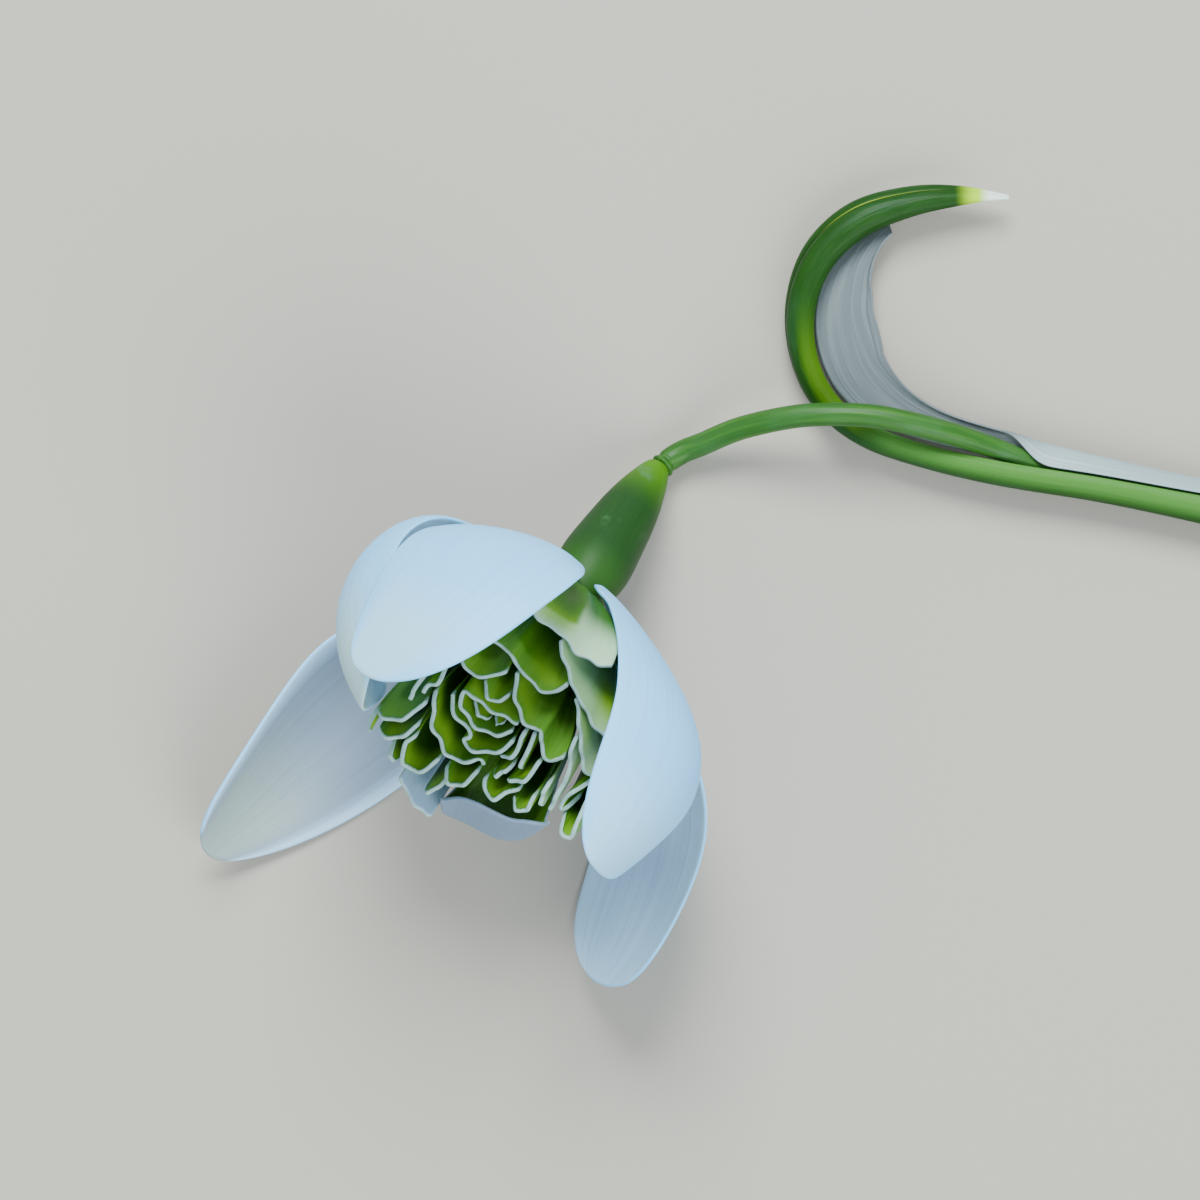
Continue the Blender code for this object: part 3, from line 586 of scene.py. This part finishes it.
def inner_petal_rule(index, name, rim, lift, corner_drop, belly):
    """place(across, along) for one inner petal, with its ruffle and sag."""
    phase = 2.399 * index
    rim_length = sum(np.linalg.norm(np.subtract(a, b)) for a, b in zip(rim, rim[1:]))
    waves = max(1.2, rim_length / WAVE_LENGTH)
    claw = WIDE_CLAW.get(name, CLAW_SHARE)

    def place(across, along):
        along = 1.0 - (1.0 - along) ** ROW_EASE
        height = CLAW_START + (1.0 - CLAW_START) * along
        reach = across * (claw + (1.0 - claw) * height ** 0.7)
        near_rim = height ** 5
        drop = corner_drop * abs(across) ** 3 * height ** 2
        wild = 0.0 if belly else 1.0
        drop += SAG * wild * near_rim * math.sin(5.0 * across * waves + phase)
        height *= 1.0 - drop
        share = 0.5 * (reach + 1.0)
        up, side = route_point(rim, share)
        run = route_point(rim, min(share + 0.02, 1.0)) - route_point(rim, max(share - 0.02, 0.0))
        run /= np.linalg.norm(run)
        ruffle = RUFFLE * wild * near_rim * math.sin(math.pi * across * waves + phase)
        up -= run[1] * ruffle
        side += run[0] * ruffle
        rise = 1.0 - max(1.0 - height, 0.0) ** 2.5 if belly else height
        scale = plan_scale(rise)
        rim_height = FACE_HEIGHT - FACE_SLOPE * up + lift
        level = DISC_HEIGHT + (rim_height - DISC_HEIGHT) * rise
        outward = scale * up - belly * (1.08 - across ** 10) * math.sin(math.pi * height ** 2)
        return BASE + outward * FACE_UP + scale * side * FACE_SIDE + level * AXIS

    def depth(across, along):
        return PETAL_DEPTH * (1.0 - along) ** ROW_EASE

    def margin(across, along):
        side_gap = (1.0 - abs(across)) * 0.5 * rim_length + 0.25 * depth(across, along)
        return min(depth(across, along), side_gap)

    def patch(across, along):
        middle, half, start = PATCHES.get(name, (0.2 * math.sin(phase), 0.75, 0.9))
        rising = ease(depth(across, along), start, start + 1.3)
        return rising * (1.0 - ease(abs(across - middle), 0.4 * half, half))

    # Painted highlight, rising just below the rim and fading out further down.
    def painted_glow(across, along):
        middle, half, start, strength = PAINTED_GLOWS.get(name, (0.3 * math.cos(phase), 0.9, 0.35, 0.5))
        down = depth(across, along)
        near = ease(down, 0.1, start) * (1.0 - ease(down, start, start + 2.0))
        return strength * near * (1.0 - ease(abs(across - middle), 0.2 * half, half))

    def pale(across, along):
        return PALE.get(name, 0.0)

    # Painted shade; only the white finishes read it, on the outside of petal 23 and the inside of petal 24.
    def grey(across, along):
        return 0.92 if belly else 0.45

    return place, {"depth": depth, "margin": margin, "patch": patch, "painted_glow": painted_glow, "pale": pale,
                   "grey": grey}


def thick_rim(across, along):
    """The wall is fullest at the rim, where a snowdrop's inner petal is fleshy."""
    return 0.62 + 0.38 * ease(along, 0.72, 0.97)


# %% Make the inner petals
for index, (name, rim, lift, corner_drop, belly) in enumerate(INNER_PETALS):
    columns = max(20, 5 * (len(rim) - 1))
    place, notes = inner_petal_rule(index, name[-2:], rim, lift, corner_drop, belly)
    piece = add_grid("petal_" + name[-2:] + "_inner", columns, rows=16)
    spots = shape_grid(piece, place, notes)
    face_outward(piece, BASE + 8.0 * AXIS)
    piece.data.materials.append(WHITE_OUTSIDE if belly else GREEN_OUTSIDE)
    lining = GREEN_HOLLOW if belly else GREEN_INSIDE
    piece.data.materials.append(WHITE_INSIDE if name.endswith("24") else lining)
    thicken(piece, spots, INNER_WALL, thick_rim)
    keep(piece, name)
print(len(INNER_PETALS), "inner petals made")

# %% [markdown]
# ## Ovary
# The ovary is a turned body, so it can be drawn up from a circle: extrude, then resize, once
# for each height of its profile.  Turned to the flower's axis and moved to the base point, its
# place is then applied to the mesh.

# %% Ovary material
def ovary_skin():
    made, tree, shader = new_material("ovary_skin", 0.50)
    lines = ramp(tree, streaks(tree, 60.0, 3.0), 0.40, 0.70)
    clouds = mottle(tree, 420.0)
    tone = mix(tree, math_node(tree, "MULTIPLY", lines, 0.25), (0.007, 0.042, 0.005), (0.016, 0.07, 0.010))
    ends = ramp(tree, attribute(tree, "along"), 0.62, 1.0)
    tone = mix(tree, math_node(tree, "MULTIPLY", ends, 0.7), tone, (0.08, 0.24, 0.0))
    mouth = ramp(tree, attribute(tree, "along"), 0.34, 0.12)
    tone = mix(tree, math_node(tree, "MULTIPLY", mouth, 0.25), tone, (0.05, 0.17, 0.01))
    tone = mix(tree, ramp(tree, clouds, 0.62, 0.82), tone, (0.06, 0.16, 0.06))
    tree.links.new(tone, shader.inputs["Base Color"])
    soften(shader, 0.1, 0.0006, 0.18)
    bump(tree, shader, lines, 0.1, 0.00005)
    return made


# %% Make the ovary
OVARY_SHAPE = [
    (2.35, 0.00), (2.30, 0.85), (2.05, 1.32), (1.60, 1.54), (1.15, 1.68), (0.65, 1.86),
    (-0.10, 2.04), (-0.90, 2.10), (-2.00, 2.02), (-3.50, 1.84), (-5.00, 1.68), (-6.40, 1.40),
    (-7.60, 1.08), (-8.40, 0.80), (-8.80, 0.62), (-8.90, 0.00),
]
bpy.ops.object.select_all(action="DESELECT")
first_height, first_radius = OVARY_SHAPE[1]
bpy.ops.mesh.primitive_circle_add(vertices=48, radius=first_radius * MM, fill_type="NGON",
                                  location=(0.0, 0.0, first_height * MM))
ovary_piece = bpy.context.object
ovary_piece.name = "ovary_body"
bpy.ops.object.transform_apply(location=True, rotation=True, scale=True)
bpy.ops.object.mode_set(mode="EDIT")
bpy.ops.mesh.select_all(action="SELECT")
radius, height = first_radius, first_height
for next_height, next_radius in OVARY_SHAPE[2:-1]:
    move = (0.0, 0.0, (next_height - height) * MM)
    bpy.ops.mesh.extrude_region_move(TRANSFORM_OT_translate={"value": move})
    grow = next_radius / radius
    bpy.ops.transform.resize(value=(grow, grow, 1.0), center_override=(0.0, 0.0, next_height * MM))
    radius, height = next_radius, next_height
bpy.ops.mesh.select_all(action="SELECT")
bpy.ops.mesh.normals_make_consistent(inside=False)
bpy.ops.object.mode_set(mode="OBJECT")
span = OVARY_SHAPE[0][0] - OVARY_SHAPE[-1][0]
points = [np.array(vert.co) / MM for vert in ovary_piece.data.vertices]
layer = ovary_piece.data.attributes.new("along", "FLOAT", "POINT")
layer.data.foreach_set("value", [(OVARY_SHAPE[0][0] - p[2]) / span for p in points])
layer = ovary_piece.data.attributes.new("across", "FLOAT", "POINT")
layer.data.foreach_set("value", [abs(math.atan2(p[1], p[0])) / math.pi for p in points])
turn = np.array([FACE_UP, FACE_SIDE, AXIS]).T
if np.linalg.det(turn) < 0:
    turn[:, 1] = -turn[:, 1]
placed = np.array([BASE + turn @ p for p in points]) * MM
ovary_piece.data.vertices.foreach_set("co", placed.ravel())
ovary_piece.data.update()
bpy.ops.object.modifier_add(type="SUBSURF")
ovary_piece.modifiers[-1].levels = 1
ovary_piece.modifiers[-1].render_levels = 1
bpy.ops.object.modifier_apply(modifier=ovary_piece.modifiers[-1].name)
bpy.ops.object.shade_smooth()
ovary_piece.data.materials.append(ovary_skin())
keep(ovary_piece, "ovary")
print("ovary box in mm:", [[round(c / MM, 2) for c in corner] for corner in ovary_piece.bound_box][::6])

# %% [markdown]
# ## Stalk skin
# The pedicel, the scape and the spathe share a glaucous green: a soft bluish bloom over fine
# lengthwise lines.

# %% Stalk material
def stalk_skin(name, body, light, bloom):
    made, tree, shader = new_material(name, 0.46)
    lines = ramp(tree, streaks(tree, 7.0, 6.0), 0.40, 0.68)
    tone = mix(tree, math_node(tree, "MULTIPLY", lines, 0.45), body, light)
    dusting = math_node(tree, "MULTIPLY", ramp(tree, mottle(tree, 300.0), 0.4, 0.75), 0.4)
    tone = mix(tree, dusting, tone, bloom)
    tree.links.new(tone, shader.inputs["Base Color"])
    soften(shader, 0.1, 0.0005, 0.25)
    bump(tree, shader, lines, 0.25, 0.00005)
    return made


STALK = stalk_skin("stalk_skin", (0.016, 0.085, 0.006), (0.05, 0.17, 0.016), (0.045, 0.14, 0.045))
PITH = stalk_skin("stalk_cut", (0.30, 0.42, 0.16), (0.40, 0.50, 0.25), (0.34, 0.46, 0.22))
print("stalk finishes:", STALK.name, PITH.name)

# %% [markdown]
# ## Pedicel and scape
# A stalk is a grid rolled into a tube along its route.  Rolling keeps the grid's directions,
# so the fine lines run along the stalk.  The seam is closed with Merge by Distance and the two
# ends are filled.  The scape's filled ends show the paler pith.

# %% A rolled tube
def rolled(name, route, radius_at, around, rows):
    def place(across, along):
        point = route_point(route, along)
        run = route_point(route, min(along + 0.01, 1.0)) - route_point(route, max(along - 0.01, 0.0))
        run /= np.linalg.norm(run)
        level = np.cross(upright, run)
        level /= np.linalg.norm(level)
        over = np.cross(run, level)
        angle = math.pi * across
        return point + radius_at(along) * (math.cos(angle) * over + math.sin(angle) * level)

    piece = add_grid(name, around, rows)
    shape_grid(piece, place)
    bpy.ops.object.mode_set(mode="EDIT")
    bpy.ops.mesh.select_all(action="SELECT")
    bpy.ops.mesh.remove_doubles(threshold=0.000002)
    bpy.ops.mesh.fill_holes(sides=0)
    bpy.ops.mesh.select_all(action="SELECT")
    bpy.ops.mesh.normals_make_consistent(inside=False)
    bpy.ops.object.mode_set(mode="OBJECT")
    bpy.ops.object.shade_smooth()
    return piece


def from_base(x, y, height):
    """A route point: x and y from the flower's base point, height from the surface."""
    return (x + BASE[0], y + BASE[1], height)


# %% Pedicel
PEDICEL_RADIUS = 0.65
PEDICEL_ROUTE = [
    (3.97, 5.91, 1.60), (4.56, 6.42, 1.28), (5.30, 6.85, 1.25), (6.30, 7.24, 1.55), (8.40, 8.10, 2.45),
    (11.10, 8.70, 3.55), (13.40, 8.86, 4.10), (15.80, 8.75, 4.15), (18.10, 8.30, 3.85),
    (20.40, 7.70, 3.00), (22.60, 6.97, 2.00), (24.90, 6.10, 1.46), (28.50, 5.30, 1.46),
    (33.70, 4.25, 1.58), (37.90, 3.25, 1.56),
]


def pedicel_radius(along):
    """Rounded at its foot on the ovary, a knuckle just above it, slimmer in the sheath."""
    foot = 1.0 - 0.55 * math.exp(-(along / 0.007) ** 2)
    knuckle = 0.10 * math.exp(-((along - 0.020) / 0.009) ** 2)
    waist = 0.10 * math.exp(-((along - 0.042) / 0.012) ** 2)
    slim = 0.26 * min(max((along - 0.60) / 0.25, 0.0), 1.0)
    return PEDICEL_RADIUS * foot * (1.0 + knuckle - waist - slim)


pedicel_piece = rolled("pedicel_stalk", [from_base(*p) for p in PEDICEL_ROUTE],
                       pedicel_radius, around=28, rows=240)
pedicel_piece.data.materials.append(STALK)
keep(pedicel_piece, "pedicel")

# %% Scape
SCAPE_RADIUS = 1.5
SCAPE_ROUTE = [(38.60, 3.00, 1.52), (44.70, 1.75, 1.52), (52.90, -0.25, 1.52), (62.30, -3.00, 1.52)]
scape_piece = rolled("scape_stalk", [from_base(*p) for p in SCAPE_ROUTE],
                     lambda along: SCAPE_RADIUS, around=40, rows=70)
scape_piece.data.materials.append(STALK)
scape_piece.data.materials.append(PITH)
for face in scape_piece.data.polygons:
    if len(face.vertices) > 4:
        face.material_index = 1
        face.use_smooth = False
keep(scape_piece, "scape")
print("stalks:", pedicel_piece.name, scape_piece.name)

# %% [markdown]
# ## Spathe
# The spathe is the leaf that once wrapped the bud: a green channel with two ridges and a
# groove between them, curled back in a hook, its two margins joined by a papery membrane.  Its
# section is an open arc, swept along the hook's centre line.  Each station gives x and y from
# the base point, the height, the size across and through the curl, the wrap and roll in
# degrees, and the wall.

# %% Spathe stations and rule
SPATHE_STATIONS = [
    (38.20, 3.08, 1.50, 2.75, 2.75, 120.0, 0.0, 0.42),
    (33.70, 4.02, 1.50, 2.45, 2.60, 112.0, 0.0, 0.42),
    (28.50, 5.05, 1.50, 2.30, 2.55, 108.0, 0.0, 0.42),
    (22.90, 5.85, 1.50, 2.05, 2.45, 118.0, 0.0, 0.46),
    (18.60, 6.80, 1.50, 1.90, 2.30, 123.0, 0.0, 0.50),
    (15.30, 8.00, 1.52, 1.90, 2.20, 127.0, 0.0, 0.52),
    (13.10, 9.90, 1.54, 1.95, 2.20, 130.0, 0.0, 0.52),
    (12.00, 12.40, 1.56, 1.95, 2.25, 132.0, 4.0, 0.52),
    (11.90, 15.10, 1.60, 2.00, 2.30, 132.0, 14.0, 0.52),
    (12.90, 17.70, 1.64, 2.15, 2.35, 128.0, 28.0, 0.52),
    (15.00, 19.60, 1.68, 2.20, 2.35, 120.0, 38.0, 0.50),
    (17.80, 20.55, 1.70, 1.85, 2.00, 110.0, 42.0, 0.46),
    (20.50, 20.85, 1.70, 1.30, 1.45, 95.0, 42.0, 0.38),
    (23.30, 20.80, 1.70, 0.40, 0.42, 60.0, 42.0, 0.16),
]


SPATHE_WALL = 0.52


def spathe_frame(share):
    """Station values and outward direction of the spathe at a share of its length."""
    values = route_point(SPATHE_STATIONS, share)
    run = (route_point(SPATHE_STATIONS, min(share + 0.01, 1.0))
           - route_point(SPATHE_STATIONS, max(share - 0.01, 0.0)))[:2]
    run /= np.linalg.norm(run)
    return values, np.array([-run[1], run[0], 0.0])


def spathe_place(across, along):
    values, outward = spathe_frame(along)
    x, y, height, deep, wide, wrap, roll, wall = values
    roll = math.radians(roll)
    back = math.cos(roll) * outward + math.sin(roll) * upright
    crossing = math.cos(roll) * upright - math.sin(roll) * outward
    angle = across * math.radians(wrap)
    groove = 1.0 - 0.20 * math.exp(-(angle / math.radians(15.0)) ** 2)
    reach = 0.5 * (deep - wall) * groove * math.cos(angle)
    width = 0.5 * (wide - wall) * groove * math.sin(angle)
    return np.array(from_base(x, y, height)) + back * reach + crossing * width


def spathe_wall(across, along):
    return spathe_frame(along)[0][-1] / SPATHE_WALL * (1.0 - 0.35 * ease(abs(across), 0.75, 1.0))


# %% Spathe material
def spathe_skin():
    made, tree, shader = new_material("spathe_skin", 0.44)
    lines = ramp(tree, streaks(tree, 14.0, 16.0), 0.40, 0.68)
    along = attribute(tree, "along")
    side = math_node(tree, "ABSOLUTE", attribute(tree, "across"), 0.0)
    tone = mix(tree, math_node(tree, "MULTIPLY", lines, 0.35), (0.006, 0.042, 0.002), (0.016, 0.072, 0.005))
    ridge = math_node(tree, "MULTIPLY", ramp(tree, side, 0.12, 0.26), ramp(tree, side, 0.55, 0.34))
    bloom = math_node(tree, "MULTIPLY", ridge, ramp(tree, mottle(tree, 320.0), 0.42, 0.70))
    tone = mix(tree, math_node(tree, "MULTIPLY", bloom, 0.15), tone, (0.04, 0.12, 0.07))
    sheath = math_node(tree, "MULTIPLY", ramp(tree, along, 0.40, 0.34), ramp(tree, side, 0.22, 0.72))
    tone = mix(tree, sheath, tone, (0.055, 0.18, 0.025))
    bend = math_node(tree, "MULTIPLY", ramp(tree, along, 0.64, 0.50), ramp(tree, side, 0.40, 0.62))
    bend = math_node(tree, "MULTIPLY", bend, ramp(tree, along, 0.36, 0.42))
    tone = mix(tree, math_node(tree, "MULTIPLY", bend, 0.9), tone, (0.045, 0.12, 0.0))
    # Painted shade: the groove between the two ridges is darkened almost to black along the hook.
    groove = math_node(tree, "MULTIPLY", ramp(tree, side, 0.13, 0.03), ramp(tree, along, 0.40, 0.52))
    tone = mix(tree, groove, tone, (0.003, 0.024, 0.001))
    toward_tip = ramp(tree, along, 0.70, 0.80)
    gold = math_node(tree, "MULTIPLY", ramp(tree, side, 0.085, 0.02), toward_tip)
    tone = mix(tree, gold, tone, (0.36, 0.55, 0.01))
    tone = mix(tree, ramp(tree, along, 0.915, 0.950), tone, (0.36, 0.60, 0.0))
    tone = mix(tree, ramp(tree, along, 0.950, 0.972), tone, (0.66, 0.76, 0.66))
    tree.links.new(tone, shader.inputs["Base Color"])
    soften(shader, 0.1, 0.0005, 0.12)
    bump(tree, shader, lines, 0.25, 0.00005)
    return made


SPATHE = spathe_skin()
# The inside of the spathe is pale, partly its own colour and partly painted light, so the shaded open
# channel of the sheath reads pale.
LINING = stalk_skin("spathe_lining", (0.22, 0.36, 0.12), (0.34, 0.46, 0.24), (0.30, 0.42, 0.22))

# %% Make the spathe
spathe_piece = add_grid("spathe_channel", columns=36, rows=110)
spots = shape_grid(spathe_piece, spathe_place)
spathe_piece.data.materials.append(SPATHE)
spathe_piece.data.materials.append(LINING)
thicken(spathe_piece, spots, SPATHE_WALL, spathe_wall)
keep(spathe_piece, "spathe")
print(spathe_piece.name, len(spathe_piece.data.polygons), "faces")

# %% [markdown]
# ## Membrane
# Between the two margins hangs a thin grey membrane, slack and finely streaked.  Inside the
# hook it runs from the lower margin to a free fold, at the distance listed for each station.
# Over the sheath it goes on to the upper margin too, and in between that cover fades out.

# %% Membrane
MEMBRANE_REACH = [1.25, 1.30, 1.50, 2.05, 2.50, 3.50, 4.00, 4.20, 3.90, 3.30, 2.00, 0.90, 0.60, 0.40]
MEMBRANE_START = 0.03
MEMBRANE_SPAN = 0.78
MEMBRANE_WALL = 0.14
COVER_FULL = 0.195
COVER_END = 0.240


def membrane_place(across, along):
    share = MEMBRANE_START + MEMBRANE_SPAN * along
    values, outward = spathe_frame(share)
    x, y, height, deep, wide, wrap, roll, wall = values
    centre = np.array(from_base(x, y, height))
    wrap = math.radians(wrap)
    drop = 0.5 * (wide - wall) * math.sin(wrap) * upright
    cover = 1.0 - ease(share, COVER_FULL, COVER_END)
    margin = centre + outward * (0.5 * (deep - wall) * math.cos(wrap) - 0.25 + 0.10 * cover)
    fold = centre - outward * through(MEMBRANE_REACH, share)
    point = route_point([margin - drop, fold, margin + drop], 0.25 * (across + 1.0) * (1.0 + cover))
    slack = 0.10 * math.sin(9.0 * along + 4.0 * across) * (1.0 - across ** 2)
    return point + slack * outward


def membrane_skin():
    made, tree, shader = new_material("membrane_skin", 0.42)
    lines = ramp(tree, streaks(tree, 5.0, 2.0, 4.0), 0.42, 0.66)
    tone = mix(tree, math_node(tree, "MULTIPLY", lines, 0.35), (0.118, 0.146, 0.150), (0.21, 0.25, 0.25))
    # Painted shade: a dark line along a fold of the membrane, from about a third of its length on.
    gap = math_node(tree, "SUBTRACT", attribute(tree, "across"), 0.55)
    crease_shade = ramp(tree, math_node(tree, "ABSOLUTE", gap, 0.0), 0.07, 0.0)
    crease_shade = math_node(tree, "MULTIPLY", crease_shade, ramp(tree, attribute(tree, "along"), 0.25, 0.40))
    tone = mix(tree, math_node(tree, "MULTIPLY", crease_shade, 0.6), tone, (0.07, 0.09, 0.08))
    tone = mix(tree, ramp(tree, attribute(tree, "along"), 0.27, 0.20), tone, (0.30, 0.40, 0.40))
    tree.links.new(tone, shader.inputs["Base Color"])
    shader.inputs["Alpha"].default_value = 0.86
    bump(tree, shader, lines, 0.4, 0.00006)
    return made


membrane_piece = add_grid("spathe_membrane_sheet", columns=20, rows=110)
spots = shape_grid(membrane_piece, membrane_place)
skin = membrane_skin()
membrane_piece.data.materials.append(skin)
membrane_piece.data.materials.append(skin)
thicken(membrane_piece, spots, MEMBRANE_WALL, lambda across, along: 1.0)
keep(membrane_piece, "spathe_membrane")
print(membrane_piece.name, len(membrane_piece.data.polygons), "faces")

# %% [markdown]
# ## Floor, light and camera
# The flower lies on a plain pale floor, lit by a broad soft light from behind its top and a
# weaker fill, and is looked at from straight above through a long lens.

# %% Floor
bpy.ops.object.select_all(action="DESELECT")
bpy.ops.mesh.primitive_plane_add(size=3.0, location=(0.0, 0.0, 0.0))
floor = bpy.context.object
floor.name = "floor"
paint, tree, shader = new_material("floor_paint", 0.85)
shader.inputs["Base Color"].default_value = (0.37, 0.335, 0.278, 1.0)
floor.data.materials.append(paint)

# %% Lights
def soft_light(name, place, target, size, power, colour):
    data = bpy.data.lights.new(name, "AREA")
    data.shape = "DISK"
    data.size = size
    data.energy = power
    data.color = colour
    lamp = bpy.data.objects.new(name, data)
    bpy.context.scene.collection.objects.link(lamp)
    lamp.location = place
    aim = np.array(target) - np.array(place)
    lamp.rotation_mode = "QUATERNION"
    lamp.rotation_quaternion = Vector(aim).to_track_quat("-Z", "Y")
    return lamp


middle = tuple(BASE * MM)
soft_light("key", (-0.05, 0.45, 0.55), middle, 0.35, 10.5, (0.88, 0.95, 1.0))
soft_light("fill", (0.25, -0.45, 0.50), middle, 0.6, 6.0, (0.88, 0.95, 1.0))
world = bpy.context.scene.world or bpy.data.worlds.new("studio")
bpy.context.scene.world = world
world.use_nodes = True
backdrop = world.node_tree.nodes["Background"]
backdrop.inputs["Color"].default_value = (0.76, 0.87, 1.0, 1.0)
backdrop.inputs["Strength"].default_value = 1.05

# %% Camera
eye = bpy.data.objects.new("camera", bpy.data.cameras.new("camera"))
bpy.context.scene.collection.objects.link(eye)
bpy.context.scene.camera = eye
CAMERA_HEIGHT = 1.1
VIEW_WIDTH = 0.066
FACE_LEVEL = 0.007
VIEW_SHIFT = (0.66, -1.375)
SENSOR = 36.0
eye.data.sensor_width = SENSOR
eye.data.lens = SENSOR * CAMERA_HEIGHT / VIEW_WIDTH
eye.data.clip_start = 0.05
eye.data.clip_end = 10.0
view_x, view_y = BASE[:2] + VIEW_SHIFT
eye.location = (view_x * MM, view_y * MM, CAMERA_HEIGHT + FACE_LEVEL)
eye.rotation_euler = (0.0, 0.0, 0.0)
print("width of the view at the flower's face in mm:", round(VIEW_WIDTH / MM, 1))
